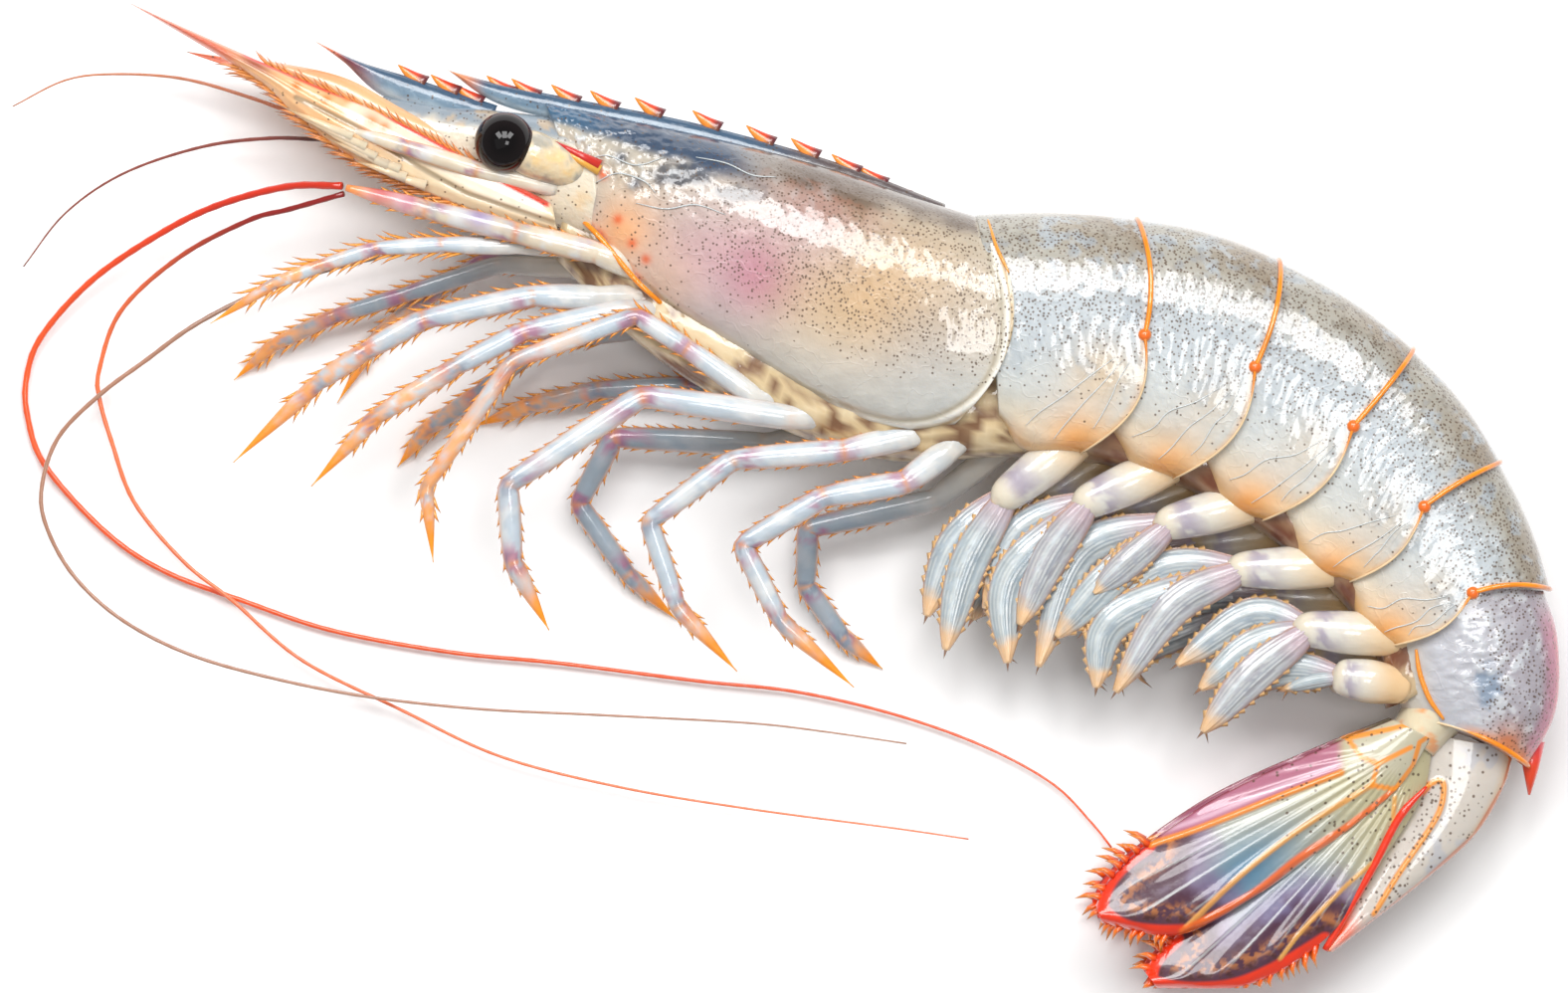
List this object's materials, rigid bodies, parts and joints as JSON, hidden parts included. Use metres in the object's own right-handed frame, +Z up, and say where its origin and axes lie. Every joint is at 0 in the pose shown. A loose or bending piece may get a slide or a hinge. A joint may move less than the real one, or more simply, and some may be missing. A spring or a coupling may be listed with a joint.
{
  "type": "freshwater shrimp",
  "caption": "Whole raw shrimp lying on its flank, head and shell on, with curled ringed tail, spiny beak, jointed legs, swimmerets, tail fan and long whiskers.",
  "frame": {"origin": "bottom centre of the box round the whole animal as it lies on its right flank", "axes": "+X from the whisker tips towards the back of the curled abdomen, +Y from the tail fan towards the beak's tip, +Z up, out of the left flank"},
  "size_m": [0.1326, 0.0843, 0.0146],
  "materials": {
    "raw_shell": "wet gloss",
    "whisker_red": "satin",
    "whisker_brown": "satin"
  },
  "bodies": {
    "root": {"shrimp_body": "raw_shell", "antennule_front": "whisker_brown", "antennule_rear": "whisker_brown", "antenna_upper": "whisker_red", "antenna_lower": "whisker_red", "antenna_far": "whisker_brown"}
  },
  "joints": []
}
